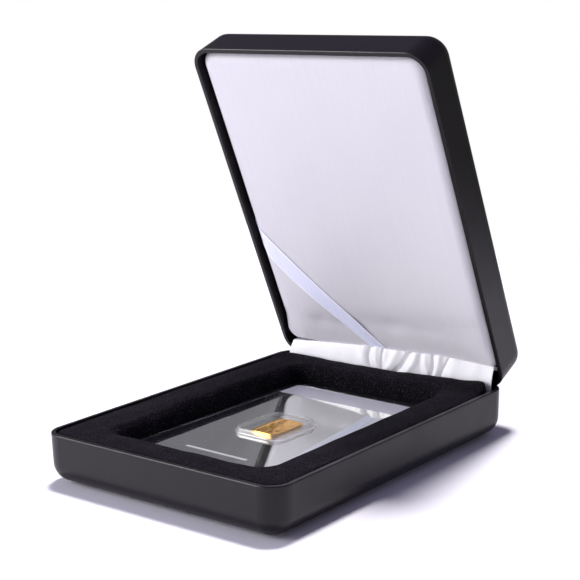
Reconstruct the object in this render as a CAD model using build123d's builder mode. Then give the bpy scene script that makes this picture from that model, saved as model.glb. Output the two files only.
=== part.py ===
"""Presentation case for a small gold bar in a clear card holder, standing open as on a table.

Millimetres, +Z up. The origin is on the table, under the middle of the base. +Y points from the
front of the case to its hinge, and +X to the right along the hinge.
"""
from build123d import *
import os
from math import cos, radians, sin, tan

# Case outline
case_width = 90.0
case_length = 121.0
corner_radius = 7.0
base_height = 16.0
lid_height = 15.0
closing_gap = 0.3
open_angle = 66.6
wall_draft = 1.5
base_edge_radius = 6.0
lid_edge_radius = 4.5

# Sheet steel shells and their wrapped covers
cover_thickness = 0.4
shell_thickness = 0.6
turn_in_depth = 4.0
rim_roll_radius = 0.35

# Felt pad under the base
felt_thickness = 0.6
felt_margin = 8.5

# Hinge
pin_radius = 0.7
pin_clearance = 0.05
barrel_wall = 0.6
cam_flat = 1.35
cam_radius = 1.6
cam_clearance = 0.05
leaf_thickness = 0.6
base_leaf_lap = 0.45
lid_leaf_margin = 0.65
leaf_seat_gap = 0.05
hinge_width = 50.0
cam_width = 9.0
cam_spacing = 24.0
knuckle_gap = 0.3
notch_clearance = 0.35
stop_clearance_angle = 1.2
spring_thickness = 0.4
spring_width = 7.0
spring_foot_height = 4.5
spring_tip_rise = 1.2
spring_shoulder_drop = 2.4
spring_tip_flare = 0.5
spring_bend_radius = 0.8
rivet_radius = 0.6
rivet_clearance = 0.05
rivet_head_radius = 1.1
rivet_head_height = 0.5
rivet_head_round = 0.4
rivet_foot_margin = 2.4

# Boards inside the insert and the lid lining
board_thickness = 1.5
strip_board = 1.5

# Velvet insert of the base
insert_gap = 0.3
hinge_room = 6.0
velvet_thickness = 1.0
velvet_top_drop = 0.2
velvet_outer_round = 1.2
velvet_recess_round = 2.0
foam_gap = 0.1
card_side_room = 6.0
card_end_room = 6.4
recess_center_y = -0.8
recess_corner_radius = 5.0
recess_depth = 6.8
riser_inset = 7.5

# Card holder with the bar
card_width = 54.0
card_length = 85.6
card_corner_radius = 3.2
card_offset_x = -0.5
card_offset_y = -1.2
card_turn = -1.4
sheet_thickness = 0.3
print_thickness = 0.5
print_margin = 1.3
print_clearance = 0.1
bubble_width = 19.0
bubble_length = 22.0
bubble_corner_radius = 4.5
bubble_offset_x = -0.2
bubble_offset_y = -1.4
bubble_height = 1.5
bubble_edge_round = 0.6
bar_width = 9.4
bar_length = 15.2
bar_thickness = 0.8
bar_corner_radius = 1.8
bar_edge_round = 0.2
bar_offset_x = 0.6
bar_offset_y = -1.2
card_lift_gap = 0.05

# Padded lining of the lid
pad_crown_depth = 0.85
pad_roll_radius = 4.5
pad_thickness = 6.0
satin_thickness = 0.4
spacer_inset = 6.0

# Ribbon across the lid lining
ribbon_thickness = 0.5
ribbon_gap = 0.25
ribbon_side_near = 7.2
ribbon_side_far = 17.2
ribbon_foot_near = 2.0
ribbon_foot_far = -6.6
ribbon_side_inset = 3.0
ribbon_foot_inset = 3.0

# Satin strip over the hinge
strip_width = 82.0
strip_thickness = 0.5
strip_gap = 0.2
strip_tuck = 3.5
strip_bend_rise = 1.2
strip_reach = 4.6
strip_lean = 25.0
strip_bend_radius = 2.0

# Places worked out from the sizes above
wall = cover_thickness + shell_thickness
rim_width = wall + cover_thickness
back_face = case_length / 2
base_leaf_height = base_height - felt_thickness - base_edge_radius + closing_gap / 2 + base_leaf_lap
lid_leaf_height = lid_height - lid_edge_radius + closing_gap / 2 - lid_leaf_margin
leaf_slope_reach = max(base_leaf_height, lid_leaf_height) * tan(radians(wall_draft))
pin_inset = wall + leaf_slope_reach + leaf_seat_gap + leaf_thickness / 2
hinge_y = back_face - pin_inset
hinge_z = base_height + closing_gap / 2
barrel_radius = pin_radius + pin_clearance + barrel_wall
cam_places = (-cam_spacing / 2, cam_spacing / 2)
base_floor = felt_thickness + wall
insert_inset = rim_width + insert_gap
insert_width = case_width - 2 * insert_inset
insert_front = -case_length / 2 + insert_inset
insert_back = back_face - hinge_room
insert_length = insert_back - insert_front
insert_center_y = (insert_back + insert_front) / 2
insert_corner_radius = corner_radius - insert_inset
recess_width = card_width + card_side_room
recess_length = card_length + card_end_room
velvet_top = base_height - velvet_top_drop
floor_board_top = base_height - recess_depth - velvet_thickness
card_floor = base_height - recess_depth + card_lift_gap
pad_back = pad_crown_depth + pad_thickness

# Planes of the two halves, each at its rim
base_plane = Plane.XY.offset(base_height)
tilt = radians(open_angle)
lid_normal = Vector(0, sin(tilt), cos(tilt))
hinge_point = Vector(0, hinge_y, hinge_z)
lid_rim_center = hinge_point + Vector(
    0,
    -hinge_y * cos(tilt) + closing_gap / 2 * sin(tilt),
    hinge_y * sin(tilt) + closing_gap / 2 * cos(tilt),
)
lid_plane = Plane(origin=lid_rim_center, x_dir=(1, 0, 0), z_dir=lid_normal)
card_center = (card_offset_x, recess_center_y + card_offset_y, card_floor)
card_plane = Plane(origin=card_center, z_dir=(0, 0, 1)).rotated((0, 0, card_turn))


def half_blank(rim_plane, side, inset, height, edge_radius):
    """Solid block with the outline of one half: side is 1 for the lid and -1 for the base."""
    with BuildPart() as blank:
        with BuildSketch(rim_plane):
            RectangleRounded(case_width - 2 * inset, case_length - 2 * inset, corner_radius - inset)
        extrude(amount=side * height, taper=wall_draft)
        closed_face = blank.faces().sort_by(Axis(rim_plane.origin, side * rim_plane.z_dir))[-1]
        fillet(closed_face.edges(), edge_radius)
    return blank.part


def turned_edge(rim_plane, side, height, edge_radius):
    """Strip of the cover that is folded over the rim and glued down inside the wall."""
    against_wall = half_blank(rim_plane, side, wall, height - wall, edge_radius - wall)
    inside = half_blank(rim_plane, side, rim_width, height - wall, edge_radius - rim_width)
    with BuildPart() as strip:
        add(against_wall)
        add(inside, mode=Mode.SUBTRACT)
        with BuildSketch(rim_plane.offset(side * turn_in_depth)):
            Rectangle(case_width, case_length)
        extrude(amount=side * height, mode=Mode.SUBTRACT)
        with BuildSketch(rim_plane):
            with Locations((0, back_face - insert_inset)):
                Rectangle(hinge_width + 2 * knuckle_gap, 2 * rim_width)
        extrude(amount=side * height, mode=Mode.SUBTRACT)
    return strip.part


def hinge_section(rim_plane):
    """Plane across the pin: first axis to the back of the half, second towards its closed face or rim."""
    return Plane(origin=hinge_point, x_dir=rim_plane.y_dir, z_dir=(1, 0, 0))


def rivet_section(rim_plane):
    """Plane along the pin that faces the front of the half, with its origin on the pin."""
    return Plane(origin=hinge_point, x_dir=(1, 0, 0), z_dir=-1 * rim_plane.y_dir)


def hinge_relief(rim_plane, side):
    """Room for the hinge: a wedge along the back edge and a notch round the barrel."""
    slope = tan(radians(open_angle / 2 + stop_clearance_angle))
    reach = pin_inset + corner_radius
    lift = -side * corner_radius
    notch = cam_radius + notch_clearance
    with BuildPart() as relief:
        with BuildSketch(hinge_section(rim_plane)):
            Polygon((0, 0), (reach, side * reach * slope), (reach, lift), (0, lift), align=None)
        extrude(amount=case_width, both=True)
        with BuildSketch(hinge_section(rim_plane)):
            Polygon((-notch, side * notch), (reach, side * notch), (reach, lift), (-notch, lift), align=None)
        extrude(amount=hinge_width / 2 + knuckle_gap, both=True)
    return relief.part


def leaf_reach(side):
    """Height of a leaf below the pin: it ends near the start of the round of its half's closed edge."""
    return lid_leaf_height if side > 0 else base_leaf_height


def rivet_rise(side):
    """Place of the rivets on their section, at a fixed margin from the foot of the leaf."""
    return side * (leaf_reach(side) - rivet_foot_margin)


def rivet_holes(rim_plane, side):
    """Clearance holes of the two rivets, through wall, leaf and spring foot."""
    with BuildPart() as holes:
        with BuildSketch(rivet_section(rim_plane)):
            with Locations(*[(x, rivet_rise(side)) for x in cam_places]):
                Circle(rivet_radius + rivet_clearance)
        extrude(amount=rim_width + pin_inset, both=True)
    return holes.part


def half_cover(rim_plane, side, height, edge_radius):
    """Wrapped cover of one half: outer skin, rim fold and turned-in edge."""
    skin = half_blank(rim_plane, side, 0, height, edge_radius)
    hollow_size = (height - cover_thickness, edge_radius - cover_thickness)
    hollow = half_blank(rim_plane, side, cover_thickness, *hollow_size)
    folded = turned_edge(rim_plane, side, height, edge_radius)
    relief = hinge_relief(rim_plane, side)
    with BuildPart() as cover:
        add(skin)
        add(hollow, mode=Mode.SUBTRACT)
        with BuildSketch(rim_plane):
            RectangleRounded(case_width, case_length, corner_radius)
            inside = (case_width - 2 * rim_width, case_length - 2 * rim_width)
            RectangleRounded(*inside, corner_radius - rim_width, mode=Mode.SUBTRACT)
        extrude(amount=side * cover_thickness)
        add(folded)
        rim_face = cover.faces().sort_by(Axis(rim_plane.origin, side * rim_plane.z_dir))[0]
        fillet(rim_face.outer_wire().edges(), rim_roll_radius)
        add(relief, mode=Mode.SUBTRACT)
    return cover.part


def half_shell(rim_plane, side, height, edge_radius):
    """Pressed steel shell of one half, inside the cover and just below its rim fold."""
    pressing_size = (height - cover_thickness, edge_radius - cover_thickness)
    pressing = half_blank(rim_plane, side, cover_thickness, *pressing_size)
    hollow = half_blank(rim_plane, side, wall, height - wall, edge_radius - wall)
    relief = hinge_relief(rim_plane, side)
    holes = rivet_holes(rim_plane, side)
    with BuildPart() as shell:
        add(pressing)
        add(hollow, mode=Mode.SUBTRACT)
        with BuildSketch(rim_plane):
            Rectangle(case_width, case_length)
        extrude(amount=side * cover_thickness, mode=Mode.SUBTRACT)
        add(relief, mode=Mode.SUBTRACT)
        add(holes, mode=Mode.SUBTRACT)
    return shell.part


def hinge_plate(rim_plane, side):
    """Flat plate of a leaf, from the pin's axis along the inside of the back wall."""
    with BuildPart() as plate:
        with BuildSketch(hinge_section(rim_plane)):
            with Locations((0, side * leaf_reach(side) / 2)):
                Rectangle(leaf_thickness, leaf_reach(side))
        extrude(amount=hinge_width / 2, both=True)
    return plate.part


def bars_on_pin(rim_plane, radius, spans):
    """Round bars on the pin's axis, one for each centre and width in spans."""
    with BuildPart() as bars:
        for x, width in spans:
            with BuildSketch(hinge_section(rim_plane).offset(x)):
                Circle(radius)
            extrude(amount=width / 2, both=True)
    return bars.part


def leaf_rivets(rim_plane, side, grip):
    """Two domed rivets, flush in the outer face of the shell, through grip of plate and spring."""
    wall_slope = abs(rivet_rise(side)) * tan(radians(wall_draft))
    outer_end = pin_inset - cover_thickness - wall_slope - leaf_seat_gap
    inner_end = grip - leaf_thickness / 2
    plane = rivet_section(rim_plane)
    places = [(x, rivet_rise(side)) for x in cam_places]
    with BuildPart() as rivets:
        with BuildSketch(plane.offset(-outer_end)):
            with Locations(*places):
                Circle(rivet_radius)
        extrude(amount=outer_end + inner_end)
        with BuildSketch(plane.offset(inner_end)):
            with Locations(*places):
                Circle(rivet_head_radius)
        extrude(amount=rivet_head_height)
        fillet(rivets.edges().group_by(Axis(plane.origin, plane.z_dir))[-1], rivet_head_round)
    return rivets.part


def snap_spring(x):
    """Bent strip: a foot on the base leaf and a tongue that bears on one cam."""
    foot_y = -(leaf_thickness + spring_thickness) / 2
    tongue_y = -(cam_radius + cam_clearance + spring_thickness / 2)
    holes = rivet_holes(base_plane, -1)
    with BuildPart() as spring:
        with BuildSketch(hinge_section(base_plane).offset(x)):
            with BuildLine():
                FilletPolyline(
                    (foot_y, -base_leaf_height),
                    (foot_y, spring_foot_height - base_leaf_height),
                    (tongue_y, -spring_shoulder_drop),
                    (tongue_y, spring_tip_rise),
                    (tongue_y - spring_tip_flare, spring_tip_rise + spring_tip_flare),
                    radius=spring_bend_radius,
                )
            trace(line_width=spring_thickness)
        extrude(amount=spring_width / 2, both=True)
        add(holes, mode=Mode.SUBTRACT)
    return spring.part


def insert_border(inset, top_z, outer_round, recess_round):
    """Border round the recess, drawn in by inset on every side, with its top edges rounded."""
    with BuildPart() as border:
        with BuildSketch(Plane.XY.offset(floor_board_top)):
            with Locations((0, insert_center_y)):
                outer_size = (insert_width - 2 * inset, insert_length - 2 * inset)
                RectangleRounded(*outer_size, insert_corner_radius - inset)
            with Locations((0, recess_center_y)):
                opening_size = (recess_width + 2 * inset, recess_length + 2 * inset)
                RectangleRounded(*opening_size, recess_corner_radius + inset, mode=Mode.SUBTRACT)
        extrude(amount=top_z - floor_board_top)
        fillet(border.faces().sort_by(Axis.Z)[-1].inner_wires()[0].edges(), recess_round)
        fillet(border.faces().sort_by(Axis.Z)[-1].outer_wire().edges(), outer_round)
    return border.part


def board_ring(plane, inset, height):
    """Strips of board set on edge in a rectangle, inset from the outline of the insert."""
    width = insert_width - 2 * inset
    length = insert_length - 2 * inset
    with BuildPart() as ring:
        with BuildSketch(plane):
            with Locations((0, insert_center_y)):
                Rectangle(width, length)
                Rectangle(width - 2 * strip_board, length - 2 * strip_board, mode=Mode.SUBTRACT)
        extrude(amount=height)
    return ring.part


def pad_block(inset):
    """Cushion of the lid with its face edges rolled over, drawn in by inset on every side."""
    with BuildPart() as block:
        with BuildSketch(lid_plane.offset(pad_back)):
            with Locations((0, insert_center_y)):
                size = (insert_width - 2 * inset, insert_length - 2 * inset)
                RectangleRounded(*size, insert_corner_radius - inset)
        extrude(amount=inset - pad_thickness)
        face = block.faces().sort_by(Axis(lid_plane.origin, lid_plane.z_dir))[0]
        fillet(face.edges(), pad_roll_radius - inset)
    return block.part


# Felt pad that the case stands on
with BuildPart() as bottom_pad:
    with BuildSketch(Plane.XY):
        RectangleRounded(case_width - 2 * felt_margin, case_length - 2 * felt_margin, corner_radius)
    extrude(amount=felt_thickness)

# Wrapped covers and the steel shells inside them
base_depth = base_height - felt_thickness
base_cover_solid = half_cover(base_plane, -1, base_depth, base_edge_radius)
base_shell_solid = half_shell(base_plane, -1, base_depth, base_edge_radius)
lid_cover_solid = half_cover(lid_plane, 1, lid_height, lid_edge_radius)
lid_shell_solid = half_shell(lid_plane, 1, lid_height, lid_edge_radius)

with BuildPart() as base_cover:
    add(base_cover_solid)

with BuildPart() as base_shell:
    add(base_shell_solid)

with BuildPart() as lid_cover:
    add(lid_cover_solid)

with BuildPart() as lid_shell:
    add(lid_shell_solid)

# Boards that carry the velvet insert
riser_height = floor_board_top - board_thickness - base_floor
riser_solid = board_ring(Plane.XY.offset(base_floor), riser_inset, riser_height)

with BuildPart() as insert_riser:
    add(riser_solid)

with BuildPart() as insert_board:
    with BuildSketch(Plane.XY.offset(floor_board_top)):
        with Locations((0, insert_center_y)):
            RectangleRounded(insert_width, insert_length, insert_corner_radius)
    extrude(amount=-board_thickness)

# Foam border and the velvet that wraps it, down both sides to the board
foam_rounds = (velvet_outer_round - velvet_thickness, velvet_recess_round - velvet_thickness)
velvet_block = insert_border(0, velvet_top, velvet_outer_round, velvet_recess_round)
velvet_channel = insert_border(velvet_thickness, velvet_top - velvet_thickness, *foam_rounds)
foam_inset = velvet_thickness + foam_gap
foam_solid = insert_border(foam_inset, velvet_top - foam_inset, *foam_rounds)

with BuildPart() as velvet_border:
    add(velvet_block)
    add(velvet_channel, mode=Mode.SUBTRACT)

with BuildPart() as insert_foam:
    add(foam_solid)

with BuildPart() as velvet_floor:
    with BuildSketch(Plane.XY.offset(floor_board_top)):
        with Locations((0, recess_center_y)):
            RectangleRounded(recess_width, recess_length, recess_corner_radius)
    extrude(amount=velvet_thickness)

# Card holder: clear back sheet, printed card, gold bar and clear front with its bubble
print_size = (card_width - 2 * print_margin, card_length - 2 * print_margin)
pocket_size = (print_size[0] + 2 * print_clearance, print_size[1] + 2 * print_clearance)
print_corner_radius = card_corner_radius - print_margin
print_top = sheet_thickness + print_thickness
front_top = print_top + sheet_thickness
bar_place = (bar_offset_x, bar_offset_y)
bubble_place = (bubble_offset_x, bubble_offset_y)
hollow_size = (bubble_width - 2 * sheet_thickness, bubble_length - 2 * sheet_thickness)

with BuildPart() as card_back_sheet:
    with BuildSketch(card_plane):
        RectangleRounded(card_width, card_length, card_corner_radius)
    extrude(amount=sheet_thickness)

with BuildPart() as card_print:
    with BuildSketch(card_plane.offset(sheet_thickness)):
        RectangleRounded(*print_size, print_corner_radius)
    extrude(amount=print_thickness)

with BuildPart() as gold_bar:
    with BuildSketch(card_plane.offset(print_top)):
        with Locations(bar_place):
            RectangleRounded(bar_width, bar_length, bar_corner_radius)
    extrude(amount=bar_thickness)
    fillet(gold_bar.faces().sort_by(Axis.Z)[-1].edges(), bar_edge_round)

with BuildPart() as bubble_hollow:
    with BuildSketch(card_plane.offset(print_top)):
        with Locations(bubble_place):
            RectangleRounded(*hollow_size, bubble_corner_radius - sheet_thickness)
    extrude(amount=bubble_height)
    fillet(bubble_hollow.faces().sort_by(Axis.Z)[-1].edges(), bubble_edge_round - sheet_thickness)

with BuildPart() as card_front:
    with BuildSketch(card_plane.offset(front_top)):
        with Locations(bubble_place):
            RectangleRounded(bubble_width, bubble_length, bubble_corner_radius)
    extrude(amount=bubble_height)
    fillet(card_front.faces().sort_by(Axis.Z)[-1].edges(), bubble_edge_round)
    with BuildSketch(card_plane.offset(sheet_thickness)):
        RectangleRounded(card_width, card_length, card_corner_radius)
    extrude(amount=front_top - sheet_thickness)
    with BuildSketch(card_plane.offset(sheet_thickness)):
        RectangleRounded(*pocket_size, print_corner_radius + print_clearance)
    extrude(amount=print_thickness, mode=Mode.SUBTRACT)
    add(bubble_hollow.part, mode=Mode.SUBTRACT)

# Padded satin lining of the lid, with its board and spacer
satin_block = pad_block(0)
satin_hollow = pad_block(satin_thickness)
pad_foam_solid = pad_block(satin_thickness + foam_gap)
spacer_back = pad_back + board_thickness
spacer_height = lid_height - wall - spacer_back
spacer_solid = board_ring(lid_plane.offset(spacer_back), spacer_inset, spacer_height)

with BuildPart() as lid_satin:
    add(satin_block)
    add(satin_hollow, mode=Mode.SUBTRACT)

with BuildPart() as lid_foam:
    add(pad_foam_solid)

with BuildPart() as lid_board:
    with BuildSketch(lid_plane.offset(pad_back)):
        with Locations((0, insert_center_y)):
            RectangleRounded(insert_width, insert_length, insert_corner_radius)
    extrude(amount=board_thickness)

with BuildPart() as lid_spacer:
    add(spacer_solid)

# Ribbon laid across the lining from its left edge to its lower edge
ribbon_side_x = ribbon_side_inset - insert_width / 2
ribbon_foot_y = insert_back - ribbon_foot_inset

with BuildPart() as lid_ribbon:
    with BuildSketch(lid_plane.offset(pad_crown_depth - ribbon_gap)):
        Polygon(
            (ribbon_side_x, ribbon_side_near),
            (ribbon_foot_near, ribbon_foot_y),
            (ribbon_foot_far, ribbon_foot_y),
            (ribbon_side_x, ribbon_side_far),
            align=None,
        )
    extrude(amount=-ribbon_thickness)

# Hinge leaves, pin and rivets
middle_knuckle = cam_spacing - cam_width - 2 * knuckle_gap
outer_knuckle = (hinge_width - cam_spacing - cam_width) / 2 - knuckle_gap
outer_knuckle_x = (hinge_width - outer_knuckle) / 2
knuckles = ((0, middle_knuckle), (outer_knuckle_x, outer_knuckle), (-outer_knuckle_x, outer_knuckle))
knuckle_rooms = [(x, width + 2 * knuckle_gap) for x, width in knuckles]
cam_rooms = [(x, cam_width + 2 * knuckle_gap) for x in cam_places]

base_plate = hinge_plate(base_plane, -1)
base_barrel = bars_on_pin(base_plane, barrel_radius, knuckles)
cam_room = bars_on_pin(base_plane, cam_radius + notch_clearance, cam_rooms)
base_bore = bars_on_pin(base_plane, pin_radius, [(0, 2 * hinge_width)])
base_holes = rivet_holes(base_plane, -1)

with BuildPart() as hinge_base_leaf:
    add(base_plate)
    add(cam_room, mode=Mode.SUBTRACT)
    add(base_barrel)
    add(base_bore, mode=Mode.SUBTRACT)
    add(base_holes, mode=Mode.SUBTRACT)

lid_plate = hinge_plate(lid_plane, 1)
barrel_room = bars_on_pin(lid_plane, barrel_radius + notch_clearance, knuckle_rooms)
lid_bore = bars_on_pin(lid_plane, pin_radius + pin_clearance, [(0, 2 * hinge_width)])
lid_holes = rivet_holes(lid_plane, 1)

with BuildPart() as hinge_lid_leaf:
    add(lid_plate)
    add(barrel_room, mode=Mode.SUBTRACT)
    for x in cam_places:
        with BuildSketch(hinge_section(lid_plane).offset(x)):
            Circle(cam_radius)
            for flat_angle in (180, 180 + open_angle):
                with PolarLocations(cam_flat + cam_radius, 1, start_angle=flat_angle):
                    Rectangle(2 * cam_radius, 2 * cam_radius, mode=Mode.SUBTRACT)
        extrude(amount=cam_width / 2, both=True)
    add(lid_bore, mode=Mode.SUBTRACT)
    add(lid_holes, mode=Mode.SUBTRACT)

with BuildPart() as hinge_pin:
    with BuildSketch(Plane(origin=hinge_point, z_dir=(1, 0, 0))):
        Circle(pin_radius)
    extrude(amount=hinge_width / 2, both=True)

base_rivets_solid = leaf_rivets(base_plane, -1, leaf_thickness + spring_thickness)
lid_rivets_solid = leaf_rivets(lid_plane, 1, leaf_thickness)

with BuildPart() as hinge_base_rivets:
    add(base_rivets_solid)

with BuildPart() as hinge_lid_rivets:
    add(lid_rivets_solid)

# Springs that snap the lid open and shut against the flats of the cams
left_spring_solid = snap_spring(cam_places[0])
right_spring_solid = snap_spring(cam_places[1])

with BuildPart() as hinge_spring_left:
    add(left_spring_solid)

with BuildPart() as hinge_spring_right:
    add(right_spring_solid)

# Satin strip that covers the hinge, tucked in behind the velvet border
strip_y = insert_back + strip_gap + strip_thickness / 2
strip_bend_z = velvet_top + strip_bend_rise
strip_end_y = strip_y + strip_reach * sin(radians(strip_lean))
strip_end_z = strip_bend_z + strip_reach * cos(radians(strip_lean))

with BuildPart() as hinge_strip:
    with BuildSketch(Plane.YZ):
        with BuildLine():
            FilletPolyline(
                (strip_y, velvet_top - strip_tuck),
                (strip_y, strip_bend_z),
                (strip_end_y, strip_end_z),
                radius=strip_bend_radius,
            )
        trace(line_width=strip_thickness)
    extrude(amount=strip_width / 2, both=True)

pieces = {
    "bottom_pad": bottom_pad,
    "base_cover": base_cover,
    "base_shell": base_shell,
    "insert_riser": insert_riser,
    "insert_board": insert_board,
    "insert_foam": insert_foam,
    "velvet_border": velvet_border,
    "velvet_floor": velvet_floor,
    "card_back_sheet": card_back_sheet,
    "card_print": card_print,
    "gold_bar": gold_bar,
    "card_front": card_front,
    "lid_cover": lid_cover,
    "lid_shell": lid_shell,
    "lid_spacer": lid_spacer,
    "lid_board": lid_board,
    "lid_foam": lid_foam,
    "lid_satin": lid_satin,
    "lid_ribbon": lid_ribbon,
    "hinge_base_leaf": hinge_base_leaf,
    "hinge_lid_leaf": hinge_lid_leaf,
    "hinge_pin": hinge_pin,
    "hinge_base_rivets": hinge_base_rivets,
    "hinge_lid_rivets": hinge_lid_rivets,
    "hinge_spring_left": hinge_spring_left,
    "hinge_spring_right": hinge_spring_right,
    "hinge_strip": hinge_strip,
}

os.makedirs("parts", exist_ok=True)
for name, piece in pieces.items():
    piece.part.label = name
    export_step(piece.part, f"parts/{name}.step")
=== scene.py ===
"""Presentation case for a small gold bar: black leatherette outside, black velvet and white satin inside.

Metres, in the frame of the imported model: +Z up, +Y towards the hinge, origin on the table under the base.
"""
from math import cos, radians, sin

import bpy
import numpy as np
from mathutils import Euler, Matrix, Vector


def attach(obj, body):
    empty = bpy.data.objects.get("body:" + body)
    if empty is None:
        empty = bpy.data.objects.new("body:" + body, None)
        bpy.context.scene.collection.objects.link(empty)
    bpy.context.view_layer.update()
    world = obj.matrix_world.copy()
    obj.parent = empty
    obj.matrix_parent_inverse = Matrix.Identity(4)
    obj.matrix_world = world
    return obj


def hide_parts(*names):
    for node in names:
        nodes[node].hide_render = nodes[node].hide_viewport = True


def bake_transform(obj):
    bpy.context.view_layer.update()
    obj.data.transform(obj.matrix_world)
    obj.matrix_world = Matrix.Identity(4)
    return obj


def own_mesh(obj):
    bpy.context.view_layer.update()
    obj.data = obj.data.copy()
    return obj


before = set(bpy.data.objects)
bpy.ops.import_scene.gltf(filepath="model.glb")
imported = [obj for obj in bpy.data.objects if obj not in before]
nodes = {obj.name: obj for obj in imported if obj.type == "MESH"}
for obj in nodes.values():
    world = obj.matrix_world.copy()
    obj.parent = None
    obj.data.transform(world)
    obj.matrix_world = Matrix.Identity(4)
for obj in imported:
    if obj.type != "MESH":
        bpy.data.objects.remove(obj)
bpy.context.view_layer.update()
MM = 0.001

# Sizes and places of the dressed pieces, in millimetres. They follow the solids, apart from rounds, rolls and
# small gaps, which are their own. A rounded rectangle is its width, length, corner radius and centre.
HINGE_Y = 58.888
HINGE_Z = 16.15
HALF_GAP = 0.15
OPEN_ANGLE = radians(66.6)
INSERT = (86.6, 113.3, 5.3, 0.0, -2.15)
INSERT_BACK = 54.5
RECESS = (60.0, 92.0, 5.0, 0.0, -0.8)
BOARD_TOP = 8.2
VELVET_TOP = 15.8
VELVET_PILE = 0.95
NAP_TOP = 9.17
OUTER_ROUND = 1.3
RECESS_ROUND = 2.6
FELT = (73.0, 104.0, 7.0, 0.0, 0.0)
FELT_TOP = 0.6
CARD_CENTRE = (-0.5, -2.0)
CARD_TURN = radians(-1.4)
CARD = (54.0, 85.6, 3.2, 0.0, 0.0)
CARD_FACE = 10.05
BACK_SHEET_TOP = 9.56
FRONT_SHEET = 0.30
FRONT_GAP = 0.02
WELDED_MARGIN = 1.15
BAR = (9.4, 15.2, 1.8, 0.6, -1.2)
BAR_THICKNESS = 0.8
BAR_EDGE_ROUND = 0.28
BUBBLE = (19.0, 22.0, 4.5, -0.2, -1.4)
BUBBLE_HEIGHT = 1.5
BUBBLE_WALL = 0.8
PAD_CROWN = 0.85
PAD_BACK = 6.85
PAD_ROLL = 4.5
HINGE_ROLL = 1.6
SATIN = 0.4
FOAM_GAP = 0.15


# Shapes

def lid_point(x, y, depth):
    """World place of a point of the lid: y runs along the closed lid from front to hinge, and depth from
    its rim towards its outer face. The closed lid is turned back about the hinge line by the open angle."""
    along, out = y - HINGE_Y, depth + HALF_GAP
    back = HINGE_Y + along * cos(OPEN_ANGLE) + out * sin(OPEN_ANGLE)
    up = HINGE_Z - along * sin(OPEN_ANGLE) + out * cos(OPEN_ANGLE)
    return np.stack(np.broadcast_arrays(x, back, up), -1)


def card_point(x, y, z):
    """World place of a point of the card: its plan is turned by the card's angle about its centre."""
    across = CARD_CENTRE[0] + x * cos(CARD_TURN) - y * sin(CARD_TURN)
    along = CARD_CENTRE[1] + x * sin(CARD_TURN) + y * cos(CARD_TURN)
    return np.stack(np.broadcast_arrays(across, along, z), -1)


def smooth(t):
    """Smooth step: 0 below 0, 1 above 1, and three squares less two cubes of t between."""
    t = np.clip(t, 0, 1)
    return t * t * (3 - 2 * t)


def bell(t):
    """Bell curve: 1 at 0, falling as the exponential of minus the square."""
    return np.exp(-t * t)


def waves(x, y, seed, length):
    """Smooth unevenness between about -1 and 1: a sum of plane sine waves of random direction and phase,
    with wavelengths from one to two and a half times length."""
    count = 7
    rng = np.random.default_rng(seed)
    angle, phase = rng.uniform(0, 2 * np.pi, (2, count))
    size = length * rng.uniform(1.0, 2.5, count)
    total = np.zeros(np.broadcast(x, y).shape)
    for a, p, s in zip(angle, phase, size):
        total = total + np.sin((x * cos(a) + y * sin(a)) * 2 * np.pi / s + p)
    return total / np.sqrt(count)


def outline(shape, inset=0.0):
    """Rounded rectangle, anticlockwise, drawn in by inset: four quarter circles joined by straight runs.
    The same counts give matching points on every outline, whatever its size."""
    corner, side = 12, 30
    width, length, radius, cx, cy = shape
    hx, hy, r = width / 2 - inset, length / 2 - inset, radius - inset
    arcs = []
    for k, (sx, sy) in enumerate(((1, 1), (-1, 1), (-1, -1), (1, -1))):
        a = np.linspace(k * np.pi / 2, (k + 1) * np.pi / 2, corner)
        arcs.append(np.stack([cx + sx * (hx - r) + r * np.cos(a), cy + sy * (hy - r) + r * np.sin(a)], 1))
    runs = []
    for k in range(4):
        t = np.linspace(0, 1, side + 2)[1:-1, None]
        runs += [arcs[k], arcs[k][-1] * (1 - t) + arcs[(k + 1) % 4][0] * t]
    return np.concatenate(runs)


def edge_distance(shape, x, y):
    """Distance of a point inside a rounded rectangle from its outline."""
    width, length, radius, cx, cy = shape
    qx, qy = np.abs(x - cx) - (width / 2 - radius), np.abs(y - cy) - (length / 2 - radius)
    outside = np.hypot(np.maximum(qx, 0), np.maximum(qy, 0)) + np.minimum(np.maximum(qx, qy), 0)
    return radius - outside


def rounded_grid(shape, columns, rows, crowd=0.6):
    """Plan of a grid that fills a rounded rectangle. Its lines crowd towards the edges as the sine of
    their place."""
    hx, hy = shape[0] / 2, shape[1] / 2
    a, b = np.linspace(-1, 1, columns), np.linspace(-1, 1, rows)
    a = (1 - crowd) * a + crowd * np.sin(a * np.pi / 2)
    b = (1 - crowd) * b + crowd * np.sin(b * np.pi / 2)
    return round_corners(shape, *np.meshgrid(a * hx, b * hy, indexing="ij"))


def stations(*runs):
    """Places along a line. Each run is its start and the number of equal steps to the start of the next."""
    starts, steps = zip(*runs)
    spans = [np.linspace(a, b, n, endpoint=False) for a, b, n in zip(starts, starts[1:], steps)]
    return np.append(np.concatenate(spans), starts[-1])


def round_corners(shape, x, y):
    """Moves points of a plain rectangle, given from its middle, into a rounded one at its own place: in
    each corner the square is squeezed into a quarter disc."""
    width, length, radius, cx, cy = shape
    hx, hy = width / 2, length / 2
    p = np.clip((np.abs(x) - (hx - radius)) / radius, 0, 1)
    q = np.clip((np.abs(y) - (hy - radius)) / radius, 0, 1)
    x = np.sign(x) * np.where(p > 0, hx - radius + radius * p * np.sqrt(1 - q * q / 2), np.abs(x))
    y = np.sign(y) * np.where(q > 0, hy - radius + radius * q * np.sqrt(1 - p * p / 2), np.abs(y))
    return cx + x, cy + y


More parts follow.
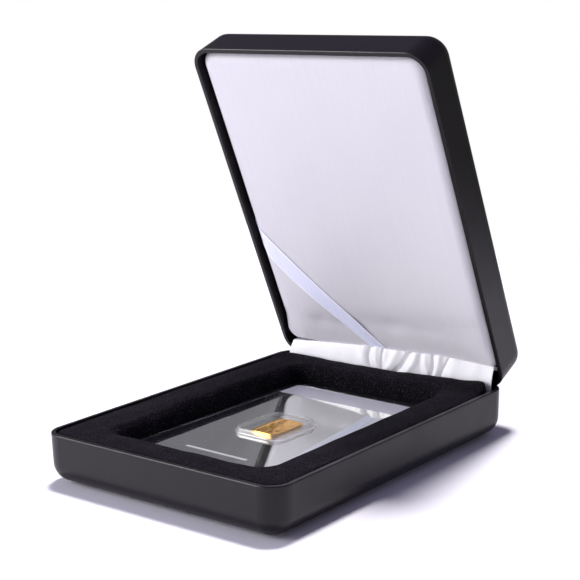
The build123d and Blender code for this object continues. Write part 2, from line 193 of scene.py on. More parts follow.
def drawn_in(shape, inset, x, y):
    """The same points scaled towards the middle of the shape, so that its edge moves in by inset."""
    width, length, _, cx, cy = shape
    return cx + (x - cx) * (1 - 2 * inset / width), cy + (y - cy) * (1 - 2 * inset / length)


def mesh_object(name, points, faces):
    """Mesh object from points in millimetres and faces of four corners. The faces are turned outwards: the
    sum of the corner products of a closed surface, which is six times its volume, is then positive."""
    v = np.asarray(points, float).reshape(-1, 3) * MM
    a, b, c, d = (v[faces[:, k]] for k in range(4))
    volume = np.sum(np.cross(a, b) * c) + np.sum(np.cross(a, c) * d)
    if volume < 0:
        faces = faces[:, ::-1]
    mesh = bpy.data.meshes.new(name)
    mesh.from_pydata(v.tolist(), [], faces.tolist())
    mesh.polygons.foreach_set("use_smooth", np.ones(len(faces), bool))
    mesh.update()
    piece = bpy.data.objects.new(name, mesh)
    bpy.context.scene.collection.objects.link(piece)
    return piece


def ring_surface(name, rows):
    """Closed tube through a list of closed outlines, the last joined to the first."""
    points = np.stack(rows)
    n, m = points.shape[:2]
    i, j = np.meshgrid(np.arange(n), np.arange(m), indexing="ij")
    next_row, next_point = (i + 1) % n, (j + 1) % m
    corners = [i * m + j, i * m + next_point, next_row * m + next_point, next_row * m + j]
    faces = np.stack(corners, -1).reshape(-1, 4)
    return mesh_object(name, points, faces)


def two_sided(name, front, back):
    """Closed solid between two grids of the same counts, joined along their edges."""
    n, m = front.shape[:2]
    points = np.concatenate([front.reshape(-1, 3), back.reshape(-1, 3)])
    i, j = np.meshgrid(np.arange(n - 1), np.arange(m - 1), indexing="ij")
    at = i * m + j
    top = np.stack([at, at + m, at + m + 1, at + 1], -1).reshape(-1, 4)
    edge = np.concatenate([
        np.arange(n) * m,
        (n - 1) * m + np.arange(1, m),
        np.arange(n - 2, -1, -1) * m + m - 1,
        np.arange(m - 2, 0, -1),
    ])
    follow = np.roll(edge, -1)
    side = np.stack([follow, edge, edge + n * m, follow + n * m], -1)
    return mesh_object(name, points, np.concatenate([top, top[:, ::-1] + n * m, side]))


def mark(piece, name, values):
    """Gives both sides of a two-sided piece a value at each point of its grid, for its finish to read."""
    attribute = piece.data.attributes.new(name, "FLOAT", "POINT")
    attribute.data.foreach_set("value", np.concatenate([values.ravel(), values.ravel()]))


# Finishes

def linear(colour):
    """Linear colour of an sRGB hex value such as #2a2829."""
    s = np.array([int(colour[k:k + 2], 16) for k in (1, 3, 5)]) / 255
    return (*np.where(s <= 0.04045, s / 12.92, ((s + 0.055) / 1.055) ** 2.4).tolist(), 1.0)


def add(tree, kind, inputs=None, **settings):
    """Adds a shader node with its settings. Each named input takes a number, a hex colour, or a link from a
    socket or from a node's first live output."""
    node = tree.nodes.new("ShaderNode" + kind)
    for key, value in settings.items():
        setattr(node, key, value)
    for key, value in (inputs or {}).items():
        named = [s for s in node.inputs if s.enabled and s.name == key]
        socket = named[0] if named else node.inputs[key]
        if isinstance(value, bpy.types.Node):
            value = next(s for s in value.outputs if s.enabled)
        if isinstance(value, bpy.types.NodeSocket):
            tree.links.new(value, socket)
        else:
            socket.default_value = linear(value) if isinstance(value, str) else value
    return node


def finish(name):
    """New material with an empty node tree. Returns it with the tree and the object coordinates."""
    material = bpy.data.materials.new(name)
    material.use_nodes = True
    tree = material.node_tree
    tree.nodes.clear()
    return material, tree, add(tree, "TexCoord").outputs["Object"]


# The stretch that noise keeps mostly within
NOISE = {"From Min": 0.3, "From Max": 0.7}

# Leatherette: coated cloth embossed with a fine pebbled grain, almost black, with a broad, weak gloss
leatherette, tree, place = finish("leatherette_black")
pebbles = add(tree, "TexVoronoi", {"Vector": place, "Scale": 1 / (0.75 * MM)}, feature="SMOOTH_F1")
pores = add(tree, "TexNoise", {"Vector": place, "Scale": 1 / (0.22 * MM), "Detail": 3.0})
patches = add(tree, "TexNoise", {"Vector": place, "Scale": 1 / (14 * MM), "Detail": 4.0})
grain = add(tree, "Math", {0: pebbles, 1: pores}, operation="ADD")
skin = add(tree, "BsdfPrincipled", {
    "Base Color": add(tree, "Mix", {"Factor": patches, "A": "#0f0b0f", "B": "#161115"}, data_type="RGBA"),
    "Roughness": add(tree, "MapRange", {"Value": patches, **NOISE, "To Min": 0.33, "To Max": 0.42}),
    "IOR": 1.5,
    "Specular IOR Level": 0.28,
    "Normal": add(tree, "Bump", {"Height": grain, "Strength": 0.35, "Distance": 0.05 * MM}),
})
add(tree, "OutputMaterial", {"Surface": skin})

# Velvet: flocked with short upright pile that swallows light face on, with single bright fibres and a
# trace of sheen. Real fibres are a few hundredths of a millimetre thick, so they are drawn coarser to show.
velvet, tree, place = finish("velvet_black")
fibres = add(tree, "TexNoise", {"Vector": place, "Scale": 1 / (0.45 * MM), "Detail": 4.0, "Roughness": 0.7})
nap = add(tree, "TexNoise", {"Vector": place, "Scale": 1 / (6 * MM), "Detail": 3.0})
tips = add(tree, "MapRange", {"Value": fibres, "From Min": 0.50, "From Max": 0.72})
patches = add(tree, "MapRange", {"Value": nap, **NOISE, "To Min": 0.5})
specks = add(tree, "Math", {0: tips, 1: patches}, operation="MULTIPLY")
pile = add(tree, "BsdfPrincipled", {
    "Base Color": add(tree, "Mix", {"Factor": specks, "A": "#060507", "B": "#3f3a48"}, data_type="RGBA"),
    "Roughness": 0.95,
    "Specular IOR Level": 0.06,
    "Sheen Weight": 0.045,
    "Sheen Roughness": 0.5,
    "Sheen Tint": "#a29db4",
    "Normal": add(tree, "Bump", {"Height": fibres, "Strength": 0.8, "Distance": 0.25 * MM}),
})
add(tree, "OutputMaterial", {"Surface": pile})

# Felt: pressed fibres that lie every way, dull all over
felt, tree, place = finish("felt_black")
fluff = add(tree, "TexNoise", {"Vector": place, "Scale": 1 / (0.6 * MM), "Detail": 5.0})
pressed = add(tree, "BsdfPrincipled", {
    "Base Color": add(tree, "Mix", {"Factor": fluff, "A": "#0c0b0d", "B": "#1d1b1f"}, data_type="RGBA"),
    "Roughness": 1.0,
    "Sheen Weight": 0.1,
    "Normal": add(tree, "Bump", {"Height": fluff, "Strength": 0.6, "Distance": 0.15 * MM}),
})
add(tree, "OutputMaterial", {"Surface": pressed})


def satin_finish(name, shade, light):
    """Satin weave: long floats that shine along the cloth, with faint uneven warp lines 0.5 mm apart. The
    real threads are a tenth of that, too fine to show. Where the attribute hem marks a ribbon's raised hems,
    the colour is painted lighter, as a painted highlight along them."""
    material, tree, place = finish(name)
    along_warp = (1 / (0.5 * MM), 1 / (25 * MM), 1 / (25 * MM))
    warp = add(tree, "Mapping", {"Vector": place, "Scale": along_warp})
    threads = add(tree, "TexNoise", {"Vector": warp, "Scale": 1.0, "Detail": 2.0})
    lines = add(tree, "MapRange", {"Value": threads, **NOISE})
    cloth = add(tree, "Mix", {"Factor": lines, "A": shade, "B": light}, data_type="RGBA")
    # Painted highlight: along the ribbon's hems the colour is painted lighter, #f2f2fc
    hem = add(tree, "Attribute", attribute_name="hem").outputs["Fac"]
    floats = add(tree, "BsdfPrincipled", {
        "Base Color": add(tree, "Mix", {"Factor": hem, "A": cloth, "B": "#f2f2fc"}, data_type="RGBA"),
        "Roughness": add(tree, "MapRange", {"Value": lines, "To Min": 0.40, "To Max": 0.46}),
        "Specular IOR Level": 0.4,
        "Sheen Weight": 0.1,
        "Sheen Roughness": 0.3,
        "Normal": add(tree, "Bump", {"Height": threads, "Strength": 0.2, "Distance": 0.013 * MM}),
    })
    add(tree, "OutputMaterial", {"Surface": floats})
    return material


# The lining and the hinge strip are one white satin. The strip's copy is painted much lighter than the
# lining's, as painted light for the strip facing up into the lamps. The lining's copy is painted darker, as
# painted shade for the lining facing down.
satin = satin_finish("satin_white", "#d2d0d7", "#d5d3da")
lit_strip_cloth = satin_finish("strip_cloth_painted_light", "#f9f8fb", "#fcfbfd")
ribbon_satin = satin_finish("ribbon_white", "#dfe2fb", "#e6e8fd")


# How steeply the card holder's sheets fall, since it lies a little askew in its recess
FALL_RIGHT = 0.056
FALL_TO_HINGE = 0.026


def askew(tree, place):
    """Bump that turns the reflections of the card holder as if its flat sheets lay at that slope."""
    axes = add(tree, "SeparateXYZ", {0: place})
    share = FALL_TO_HINGE / FALL_RIGHT
    back = add(tree, "Math", {0: axes.outputs["Y"], 1: share}, operation="MULTIPLY")
    fall = add(tree, "Math", {0: axes.outputs["X"], 1: back}, operation="ADD")
    return add(tree, "Bump", {"Height": fall, "Strength": 1.0, "Distance": FALL_RIGHT}, invert=True)


# Strips printed on the card, from its middle: where the head strip begins, and the foot strip's centre and
# half sizes
HEAD_STRIP = 31.2
FOOT_STRIP = (0.5, -29.9)
FOOT_STRIP_HALF = (12.0, 0.65)

# Card: mirror foil, with a matt pale strip across its head and a short one at its foot
card_foil, tree, place = finish("silver_card_foil")
card_middle = (CARD_CENTRE[0] * MM, CARD_CENTRE[1] * MM, 0)
on_card = {"Vector": place, "Location": card_middle, "Rotation": (0, 0, CARD_TURN)}
axes = add(tree, "SeparateXYZ", {0: add(tree, "Mapping", on_card, vector_type="TEXTURE")})
head = add(tree, "Math", {0: axes.outputs["Y"], 1: HEAD_STRIP * MM}, operation="GREATER_THAN")
across = {0: axes.outputs["X"], 1: FOOT_STRIP[0] * MM, 2: FOOT_STRIP_HALF[0] * MM}
along = {0: axes.outputs["Y"], 1: FOOT_STRIP[1] * MM, 2: FOOT_STRIP_HALF[1] * MM}
foot_across = add(tree, "Math", across, operation="COMPARE")
foot_along = add(tree, "Math", along, operation="COMPARE")
foot = add(tree, "Math", {0: foot_across, 1: foot_along}, operation="MULTIPLY")
faint_foot = add(tree, "Math", {0: foot, 1: 0.45}, operation="MULTIPLY")
pale = add(tree, "Math", {0: head, 1: faint_foot}, operation="MAXIMUM")
sheet = add(tree, "BsdfPrincipled", {
    "Base Color": add(tree, "Mix", {"Factor": pale, "A": "#dee0da", "B": "#d3d1da"}, data_type="RGBA"),
    "Metallic": add(tree, "MapRange", {"Value": pale, "To Min": 1.0, "To Max": 0.0}),
    "Roughness": add(tree, "MapRange", {"Value": pale, "To Min": 0.04, "To Max": 0.32}),
    "Specular IOR Level": 0.2,
    "Normal": askew(tree, place),
})
add(tree, "OutputMaterial", {"Surface": sheet})

# Clear plastic, heat-formed: where it lies flat only a faint gloss shows, while the drawn walls of the
# bubble and the welded margin, marked by the attribute wall, are hazier and bend the light
clear_plastic, tree, place = finish("clear_plastic")
wall = add(tree, "Attribute", attribute_name="wall").outputs["Fac"]
sheet = add(tree, "BsdfPrincipled", {
    "Base Color": "#fbfcfd",
    "Roughness": add(tree, "MapRange", {"Value": wall, "To Min": 0.02, "To Max": 0.42}),
    "IOR": 1.49,
    "Transmission Weight": 1.0,
    "Alpha": add(tree, "MapRange", {"Value": wall, "To Min": 0.03, "To Max": 0.30}),
    "Normal": askew(tree, place),
})
add(tree, "OutputMaterial", {"Surface": sheet})

# Fine gold, struck and polished: warm mirror that bulges a little between the marks of the die
gold, tree, place = finish("fine_gold")
die = add(tree, "TexNoise", {"Vector": place, "Scale": 1 / (1.6 * MM), "Detail": 3.0})
relief = add(tree, "TexNoise", {"Vector": place, "Scale": 1 / (3.0 * MM), "Detail": 1.0})
tilt = askew(tree, place)
struck = add(tree, "BsdfPrincipled", {
    "Base Color": "#fcc25c",
    "Metallic": 1.0,
    "Roughness": add(tree, "MapRange", {"Value": die, **NOISE, "To Min": 0.20, "To Max": 0.27}),
    "Normal": add(tree, "Bump", {"Height": relief, "Strength": 1.0, "Distance": 0.34 * MM, "Normal": tilt}),
})
add(tree, "OutputMaterial", {"Surface": struck})


def steel_finish(name, dark, light, grit):
    """Strip steel: drawn lines along the hinge that stretch the highlights, at the spacing of grit."""
    material, tree, place = finish(name)
    drawn = add(tree, "Mapping", {"Vector": place, "Scale": (1 / (8 * MM), 1 / grit, 1 / grit)})
    lines = add(tree, "TexNoise", {"Vector": drawn, "Scale": 1.0, "Detail": 4.0})
    rolled = add(tree, "BsdfPrincipled", {
        "Base Color": add(tree, "Mix", {"Factor": lines, "A": dark, "B": light}, data_type="RGBA"),
        "Metallic": 1.0,
        "Roughness": add(tree, "MapRange", {"Value": lines, **NOISE, "To Min": 0.28, "To Max": 0.42}),
        "Normal": add(tree, "Bump", {"Height": lines, "Strength": 0.2, "Distance": 0.02 * MM}),
    })
    add(tree, "OutputMaterial", {"Surface": rolled})
    return material


zinc = steel_finish("zinc_plated_steel", "#9a9ba0", "#c3c4c8", 0.15 * MM)
blued = steel_finish("blued_spring_steel", "#5c6068", "#858a92", 0.1 * MM)

# Lacquered sheet steel of the shells: dark and a little glossy, with a fine orange peel
lacquer, tree, place = finish("lacquered_sheet_steel")
peel = add(tree, "TexNoise", {"Vector": place, "Scale": 1 / (1.2 * MM), "Detail": 2.0})
lacquered = add(tree, "BsdfPrincipled", {
    "Base Color": add(tree, "Mix", {"Factor": peel, "A": "#1c1b1d", "B": "#262527"}, data_type="RGBA"),
    "Metallic": 0.6,
    "Roughness": add(tree, "MapRange", {"Value": peel, **NOISE, "To Min": 0.3, "To Max": 0.42}),
    "Normal": add(tree, "Bump", {"Height": peel, "Strength": 0.2, "Distance": 0.02 * MM}),
})
add(tree, "OutputMaterial", {"Surface": lacquered})

# Grey board: pressed pulp with darker flecks
board, tree, place = finish("grey_board")
pulp = add(tree, "TexNoise", {"Vector": place, "Scale": 1 / (0.8 * MM), "Detail": 6.0, "Roughness": 0.75})
flecks = add(tree, "MapRange", {"Value": pulp, **NOISE})
grey = add(tree, "Mix", {"Factor": flecks, "A": "#8b877f", "B": "#b3afa6"}, data_type="RGBA")
pressed_pulp = add(tree, "BsdfPrincipled", {"Base Color": grey, "Roughness": 0.9})
add(tree, "OutputMaterial", {"Surface": pressed_pulp})

# Open foam: small cells
foam, tree, place = finish("open_foam")
cells = add(tree, "TexVoronoi", {"Vector": place, "Scale": 1 / (0.7 * MM)})
open_cells = add(tree, "BsdfPrincipled", {
    "Base Color": add(tree, "Mix", {"Factor": cells, "A": "#d8d6cc", "B": "#f3f2ea"}, data_type="RGBA"),
    "Roughness": 1.0,
    "Normal": add(tree, "Bump", {"Height": cells, "Strength": 0.7, "Distance": 0.3 * MM}),
})
add(tree, "OutputMaterial", {"Surface": open_cells})

for names, material in (
    (("base_cover", "lid_cover"), leatherette),
    (("base_shell", "lid_shell"), lacquer),
    (("insert_riser", "insert_board", "lid_board", "lid_spacer"), board),
    (("insert_foam",), foam),
    (("hinge_base_leaf", "hinge_lid_leaf", "hinge_pin", "hinge_base_rivets", "hinge_lid_rivets"), zinc),
    (("hinge_spring_left", "hinge_spring_right"), blued),
    (("card_back_sheet",), clear_plastic),
    (("card_print",), card_foil),
):
    for name in names:
        nodes[name].data.materials.clear()
        nodes[name].data.materials.append(material)


def dress(piece, material, stands_for):
    """Gives a piece its material and hides the node that it stands for."""
    piece.data.materials.append(material)
    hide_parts(stands_for)
    return piece


# Velvet insert

def border_rows():
    """Outlines with their heights: up the outside of the border, over its top, down into the recess, and
    back underneath as the inner face of the cloth. The top swells as a half sine between its two rounded
    edges."""
    turn = np.linspace(0, np.pi / 2, 9)
    inner_top = VELVET_TOP - VELVET_PILE
    rows = [(outline(INSERT), z) for z in np.linspace(BOARD_TOP, VELVET_TOP - OUTER_ROUND, 5)[:-1]]
    for t in turn:
        height = VELVET_TOP - OUTER_ROUND * (1 - sin(t))
        rows.append((outline(INSERT, OUTER_ROUND * (1 - cos(t))), height))
    start, end = outline(INSERT, OUTER_ROUND), outline(RECESS, -RECESS_ROUND)
    for t in np.linspace(0, 1, 14)[1:-1]:
        rows.append((start * (1 - t) + end * t, VELVET_TOP + 0.22 * sin(np.pi * t)))
    for t in turn[::-1]:
        height = VELVET_TOP - RECESS_ROUND * (1 - sin(t))
        rows.append((outline(RECESS, -RECESS_ROUND * (1 - cos(t))), height))
    rows += [(outline(RECESS), z) for z in np.linspace(VELVET_TOP - RECESS_ROUND, BOARD_TOP, 5)[1:]]
    rows += [(outline(RECESS, -VELVET_PILE), z) for z in (BOARD_TOP, inner_top - 1)]
    rows += [(outline(RECESS, -RECESS_ROUND), inner_top), (outline(INSERT, RECESS_ROUND), inner_top)]
    rows += [(outline(INSERT, VELVET_PILE), z) for z in (inner_top - 1, BOARD_TOP)]
    return rows


def velvet_border_piece():
    """Border with its pile a little uneven: smooth waves lift and lower the upper rows by about 0.12 mm.
    Towards the hinge the border is padded thicker, most of all in its right corner."""
    rows = []
    for plan, z in border_rows():
        x, y = plan.T
        left, right, corner = bell((x + 42) / 14), smooth((x - 2) / 26), smooth((x - 30) / 12)
        padding = 0.6 + 0.4 * left + 1.1 * right + 0.8 * corner
        near_hinge = smooth((y - 45) / 8)
        lift = 0.12 * waves(x, y, 3, 9.0) + padding * near_hinge
        upper = np.clip((z - 15.0) / 0.7, 0, 1)
        rows.append(np.column_stack([plan, z + lift * upper]))
    return ring_surface("velvet_border_cloth", rows)


border = dress(velvet_border_piece(), velvet, "velvet_border")
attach(border, "base")
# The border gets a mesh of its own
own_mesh(border)

x, y = rounded_grid(RECESS, 60, 80)
nap_top = np.stack([x, y, NAP_TOP + 0.03 * waves(x, y, 5, 5.0)], -1)
floor_cloth = two_sided("velvet_floor_cloth", nap_top, np.stack([x, y, np.full_like(x, BOARD_TOP)], -1))
dress(floor_cloth, velvet, "velvet_floor")
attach(floor_cloth, "base")

# Felt under the base, with a cut edge that frays upwards over its last 0.6 mm
x, y = rounded_grid(FELT, 50, 70)
frayed = 0.25 * np.clip(1 - edge_distance(FELT, x, y) / 0.6, 0, 1) ** 2
felt_top = np.stack([x, y, np.full_like(x, FELT_TOP)], -1)
felt_block = two_sided("bottom_felt", felt_top, np.stack([x, y, frayed], -1))
pad = dress(felt_block, felt, "bottom_pad")
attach(pad, "base")


# Satin lining of the lid

def edge_roll(x, y):
    """Depth that the lining falls away at its edges: a quarter circle, of smaller radius near the hinge."""
    radius = HINGE_ROLL + (PAD_ROLL - HINGE_ROLL) * smooth((INSERT_BACK - y) / 12)
    d = np.clip(edge_distance(INSERT, x, y), 0, radius)
    return radius - np.sqrt(np.maximum(radius ** 2 - (radius - d) ** 2, 0))


def pad_crown(x, y):
    """Depth of the lining below the lid's rim without its valley: its edges roll over, the face swells a
    little towards its middle and drifts in and out in long waves."""
    d = edge_distance(INSERT, x, y)
    drift, swell = 0.07 * waves(x, y * 0.5, 17, 18.0), 0.35 * smooth(d / 26)
    return PAD_CROWN + edge_roll(x, y) + (drift - swell) * smooth(d / 3)


def pad_surface(x, y):
    """Depth of the padded lining below the lid's rim: its crown, with a soft valley along the hinge side
    that slants away from it to the right, bell-shaped dimples, and puckers where the cloth is drawn in
    along that side."""
    from_hinge = INSERT_BACK - y
    valley_line = 10.5 + 0.09 * (x + 20)
    valley = 0.55 * bell((from_hinge - valley_line) / 4.2) * (0.8 + 0.2 * waves(x, 0 * y, 8, 16.0))
    dimples = 0 * x
    for dimple_x, from_edge, wide, deep in (
        (-25.5, 9.7, 4.0, 0.45),
        (-16.5, 9.9, 3.0, 0.35),
        (5.3, 12.6, 3.2, 0.40),
        (18.0, 12.0, 4.0, 0.20),
        (32.0, 11.0, 4.5, 0.25),
    ):
        dimples = dimples + deep * bell((x - dimple_x) / wide) * bell((from_hinge - from_edge) / 2.6)
    pucker = 0.10 * np.exp(-from_hinge / 5.0) * waves(x, 0 * y, 12, 2.4)
    return pad_crown(x, y) + (valley + dimples + pucker) * smooth(edge_distance(INSERT, x, y) / 3)


x, y = rounded_grid(INSERT, 150, 200, crowd=0.75)
rim = edge_distance(INSERT, x, y) < 1e-6
face_depth = pad_surface(x, y)
lining_front = lid_point(x, y, np.where(rim, PAD_BACK, face_depth))
lining_back = lid_point(*drawn_in(INSERT, SATIN, x, y), np.where(rim, PAD_BACK, face_depth + SATIN))
lining = dress(two_sided("lid_satin_lining", lining_front, lining_back), satin, "lid_satin")
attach(lining, "lid")

x, y = rounded_grid(INSERT, 60, 80, crowd=0.75)
foam_depth = np.minimum(pad_surface(x, y) + SATIN + FOAM_GAP, PAD_BACK - 0.5)
foam_x, foam_y = drawn_in(INSERT, SATIN + FOAM_GAP, x, y)
foam_back = lid_point(foam_x, foam_y, np.full_like(x, PAD_BACK))
foam_block = two_sided("lid_foam_block", lid_point(foam_x, foam_y, foam_depth), foam_back)
dress(foam_block, foam, "lid_foam")
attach(foam_block, "lid")

# Control points of the ribbon's upper and lower edge, from the lining's left edge to its hinge edge
RIBBON_UPPER = ((-43.2, 4.1), (-33.0, 17.5), (-15.0, 36.0), (0.2, 51.9))
RIBBON_LOWER = ((-43.2, 12.5), (-39.5, 24.0), (-22.0, 38.0), (-6.5, 51.9))
RIBBON_LIFT = 0.16
RIBBON_THICKNESS = 0.12


def bezier(points, t):
    """Cubic Bezier curve of four points in plan."""
    weights = (1 - t) ** 3, 3 * t * (1 - t) ** 2, 3 * t * t * (1 - t), t ** 3
    return [sum(w * p[k] for w, p in zip(weights, points)) for k in (0, 1)]


def ribbon_piece():
    """Taut ribbon across a corner of the lining: a ruled surface between two cubic curves in plan, that
    lies just over the lining and spans its valley. Both hems are a little thicker, and a pleat rises
    between them towards the foot, where the ribbon is drawn together."""
    s, w = np.meshgrid(np.linspace(0, 1, 120), np.linspace(0, 1, 45), indexing="ij")
    upper, lower = bezier(RIBBON_UPPER, s), bezier(RIBBON_LOWER, s)
    x, y = (a * (1 - w) + b * w for a, b in zip(upper, lower))
    hem = bell((w - 0.06) / 0.05) + bell((w - 0.94) / 0.05)
    pleat = 0.35 * smooth((s - 0.5) * 2) * bell((w - 0.45) / 0.16)
    depth = pad_crown(x, y) - RIBBON_LIFT - 0.10 * hem - pleat
    back = lid_point(x, y, depth + RIBBON_THICKNESS)
    piece = two_sided("lid_ribbon_cloth", lid_point(x, y, depth), back)
    mark(piece, "hem", hem)
    return piece


ribbon = dress(ribbon_piece(), ribbon_satin, "lid_ribbon")
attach(ribbon, "lid")

# Crest of the hinge strip: places across, and how far along the lid it reaches there
STRIP_CREST_X = (-41.0, -28.5, -19.7, -4.4, 4.5, 11.9, 22.3, 42.2)
STRIP_CREST_Y = (54.6, 53.4, 52.8, 51.7, 51.8, 51.5, 51.0, 52.0)
# Its folds: place across, slant over its height, curve, half width and height
STRIP_FOLDS = (
    (-35.0, 4.0, 0.0, 5.0, 0.12),
    (-19.0, -5.0, 0.0, 5.0, 0.15),
    (-9.0, -4.0, 14.0, 1.5, 0.45),
    (-6.4, -4.0, 16.0, 0.7, -0.60),
    (-3.4, -5.0, 12.0, 1.2, 0.55),
    (-0.8, -2.0, 8.0, 0.6, -0.40),
    (3.2, 7.0, -6.0, 1.6, 0.55),
    (7.2, 9.5, -4.0, 1.0, -1.40),
    (11.4, 7.0, -8.0, 1.5, 0.60),
    (14.8, -3.0, 10.0, 1.1, -0.30),
    (17.0, -6.0, 6.0, 1.2, 0.50),
    (19.4, 1.0, -8.0, 0.6, -0.90),
    (21.4, 3.0, -6.0, 1.0, 0.55),
    (23.6, 5.0, 8.0, 0.6, -0.45),
    (27.0, 2.0, 0.0, 1.8, 0.30),
    (35.0, 2.0, 0.0, 2.6, 0.15),
)
# Its foot behind the velvet, as y and z
STRIP_FOOT = (54.95, 14.2)
# The share of its height where its crest is
STRIP_CREST = 0.72
# The place under the lining that it is tucked to, along the lid and in depth
STRIP_TUCK = (55.6, 3.0)
# The way its folds rise, as y and z, and where its back lies off its face
STRIP_OUT = (-0.85, 0.35)
STRIP_THICKNESS = (0, 0.22, -0.12)


def hinge_strip_piece():
    """Gathered strip over the hinge. Up the strip, a parabola rises from behind the velvet to a crest in
    front of the lining's foot, and from there the cloth is tucked back under the lining. Folds are
    bell-shaped ridges and grooves that slant and curve across it, over waves that are strongest where it
    is crumpled."""
    u, v = np.meshgrid(np.linspace(0, 1, 460), np.linspace(0, 1, 48), indexing="ij")
    x = -40.4 - 0.5 * v + (82.6 + 0.5 * v) * u
    crest = lid_point(0 * x, np.interp(x, STRIP_CREST_X, STRIP_CREST_Y), 0.35 + 0 * x)
    tuck = lid_point(0 * x, STRIP_TUCK[0] + 0 * x, STRIP_TUCK[1] + 0 * x)
    rise = np.clip(v / STRIP_CREST, 0, 1)
    roll = np.clip((v - STRIP_CREST) / (1 - STRIP_CREST), 0, 1)
    bend_y, bend_z = 54.1 + 0.2 * waves(x, 0 * x, 21, 12.0), 16.6
    y = (1 - rise) ** 2 * STRIP_FOOT[0] + 2 * rise * (1 - rise) * bend_y + rise ** 2 * crest[..., 1]
    z = (1 - rise) ** 2 * STRIP_FOOT[1] + 2 * rise * (1 - rise) * bend_z + rise ** 2 * crest[..., 2]
    y = y + (tuck[..., 1] - crest[..., 1]) * roll
    z = z + (tuck[..., 2] - crest[..., 2]) * roll ** 2
    folds = 0 * x
    for fold_x, slant, curve, wide, high in STRIP_FOLDS:
        folds = folds + high * bell((x - fold_x - slant * (v - 0.45) - curve * (v - 0.45) ** 2) / wide)
    crumple = (0.06 + 0.16 * bell((x - 6) / 15)) * waves(x, z * 1.3, 29, 5.0)
    folds = folds + 0.02 * waves(x, z, 23, 3.5) + crumple
    lift = folds * smooth(v / 0.3) * smooth((1 - v) / 0.3)
    face = np.stack([x, y + lift * STRIP_OUT[0], z + lift * STRIP_OUT[1]], -1)
    return two_sided("hinge_strip_cloth", face, face + np.array(STRIP_THICKNESS))


strip = dress(hinge_strip_piece(), lit_strip_cloth, "hinge_strip")
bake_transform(strip)


# Clear front of the card holder and the bar under its bubble

def card_lines(half, low, high, steps, fine_steps):
    """Grid lines across the card: close over the bubble, from low to high, and a single short step on each
    side where the sheet turns down to its margin."""
    step_out, step_in = half - WELDED_MARGIN + 0.05, half - WELDED_MARGIN - 0.05
    lower = ((-half, 2), (-step_out, 1), (-step_in, steps), (low, fine_steps))
    upper = ((high, steps), (step_in, 1), (step_out, 2), (half, 0))
    return stations(*lower, *upper)


def card_front_piece():
    """Formed sheet: flat over the card, raised as a smooth step into the bubble with a low bead round its
    foot, and turned down round the margin to meet the back sheet."""
    columns = card_lines(CARD[0] / 2, -11.0, 10.6, 28, 100)
    rows = card_lines(CARD[1] / 2, -13.8, 11.0, 40, 115)
    x, y = round_corners(CARD, *np.meshgrid(columns, rows, indexing="ij"))
    d = edge_distance(BUBBLE, x, y)
    bead = 0.10 * bell((d + 0.35) / 0.3)
    lift = BUBBLE_HEIGHT * smooth(d / BUBBLE_WALL) + bead
    margin = edge_distance(CARD, x, y)
    under = np.where(margin < WELDED_MARGIN, BACK_SHEET_TOP, CARD_FACE + FRONT_GAP + lift)
    over = CARD_FACE + FRONT_GAP + FRONT_SHEET + lift
    piece = two_sided("clear_card_front", card_point(x, y, over), card_point(x, y, under))
    drawn_wall = smooth((0.9 - np.abs(d - 0.35)) / 0.4)
    welded = 0.4 * smooth((1.4 - margin) / 0.3)
    mark(piece, "wall", np.maximum(drawn_wall, welded))
    return piece


clear_front = dress(card_front_piece(), clear_plastic, "card_front")
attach(clear_front, "card")


def bar_piece():
    """Struck bar: rounded plan, a softly rounded edge, and a slightly sunk field inside a low border."""
    x, y = rounded_grid(BAR, 110, 150, crowd=0.8)
    d = edge_distance(BAR, x, y)
    edge = BAR_EDGE_ROUND
    fall = edge - np.sqrt(np.maximum(edge ** 2 - (edge - np.clip(d, 0, edge)) ** 2, 0))
    field = 0.06 * smooth((d - 0.7) / 0.35)
    top = np.where(d < 1e-6, CARD_FACE + 0.03, CARD_FACE + BAR_THICKNESS - fall - field)
    foot = np.full_like(x, CARD_FACE + 0.01)
    return two_sided("gold_bar_struck", card_point(x, y, top), card_point(x, y, foot))


bar = dress(bar_piece(), gold, "gold_bar")
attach(bar, "card")

# Stage: pale table that ends beyond the case, as in a studio
table, tree, _ = finish("pale_table")
paper = add(tree, "BsdfPrincipled", {"Base Color": "#f1effa", "Roughness": 0.8, "Specular IOR Level": 0.1})
add(tree, "OutputMaterial", {"Surface": paper})
TABLE_CORNERS = ((-900, -900, 0), (360, -900, 0), (360, 330, 0), (-900, 330, 0))
table_top = mesh_object("floor", TABLE_CORNERS, np.array([[0, 1, 2, 3]]))
table_top.data.materials.append(table)

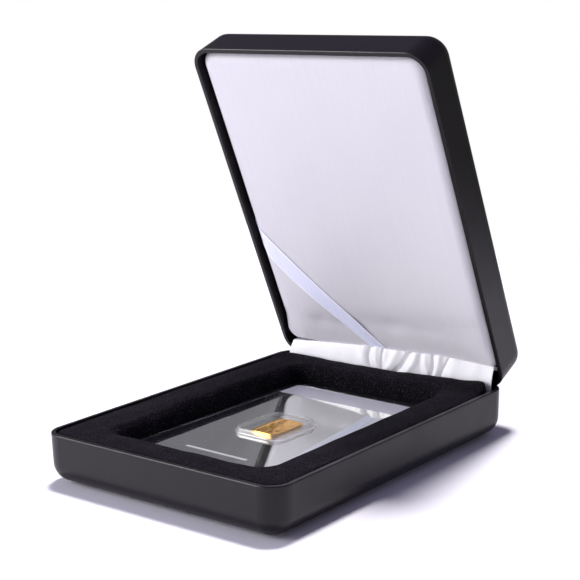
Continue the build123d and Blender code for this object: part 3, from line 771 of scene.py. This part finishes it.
# Surroundings: an even grey room, lavender overhead and dark below the table, and white where the camera
# looks past the case
world = bpy.data.worlds.new("studio")
bpy.context.scene.world = world
world.use_nodes = True
tree = world.node_tree
tree.nodes.clear()
direction = add(tree, "TexCoord").outputs["Generated"]
height = add(tree, "SeparateXYZ", {0: direction}).outputs["Z"]
overhead = add(tree, "MapRange", {"Value": height, "From Min": 0.1, "From Max": 0.6})
upper = add(tree, "Mix", {"Factor": overhead, "A": "#8b8c86", "B": "#706c86"}, data_type="RGBA")
above_table = add(tree, "MapRange", {"Value": height, "From Min": -0.10, "From Max": -0.02})
room = add(tree, "Mix", {"Factor": above_table, "A": "#4c4a50", "B": upper}, data_type="RGBA")
seen = add(tree, "LightPath").outputs["Is Camera Ray"]
backdrop = add(tree, "Mix", {"Factor": seen, "A": room, "B": "#ffffff"}, data_type="RGBA")
add(tree, "OutputWorld", {"Surface": add(tree, "Background", {"Color": backdrop})})


def soft_light(name, kind, place, aim, power, colour, **settings):
    """Light at a place in metres, turned towards aim."""
    data = bpy.data.lights.new(name, kind)
    data.energy = power
    data.color = linear(colour)[:3]
    for key, value in settings.items():
        setattr(data, key, value)
    light = bpy.data.objects.new(name, data)
    light.location = place
    light.rotation_euler = (Vector(aim) - Vector(place)).to_track_quat("-Z", "Y").to_euler()
    bpy.context.scene.collection.objects.link(light)
    return light


# The lamp overhead is behind a diffuser: it lights and casts the shadow, but draws no highlight of its own
lamp_place, diffuser = (-0.10, 0.26, 0.96), radians(10)
overhead_lamp = soft_light("overhead_lamp", "SUN", lamp_place, (0, 0, 0), 3.6, "#fffdf8", angle=diffuser)
overhead_lamp.visible_glossy = False
# A large soft box at the left front fills the shadows and draws the broad gloss on the leatherette
soft_light("left_front_box", "AREA", (-1.0, -1.03, 0.52), (0, 0, 0.05), 21.5, "#fdfcff", size=1.1)
# A small box high on the left that draws the bright lines along the rims, and lights nothing else
rim_box = soft_light("rim_box", "AREA", (-0.85, -0.50, 1.02), (0, 0, 0.05), 19.0, "#fdfcff", size=0.12)
rim_box.visible_diffuse = False

# Camera at the photograph's place, turned up from looking down, rolled, and turned about the upright axis
CAMERA_PLACE = (0.27711, -0.34713, 0.14931)
CAMERA_TURN = (radians(77.845), radians(1.226), radians(37.987))
lens = bpy.data.cameras.new("camera")
lens.lens = 91.74
lens.sensor_width = 36.0
lens.clip_start = 0.01
lens.clip_end = 60.0
camera = bpy.data.objects.new("camera", lens)
camera.matrix_world = Matrix.Translation(CAMERA_PLACE) @ Euler(CAMERA_TURN).to_matrix().to_4x4()
bpy.context.scene.collection.objects.link(camera)
bpy.context.scene.camera = camera
bpy.context.scene.view_settings.view_transform = "Standard"
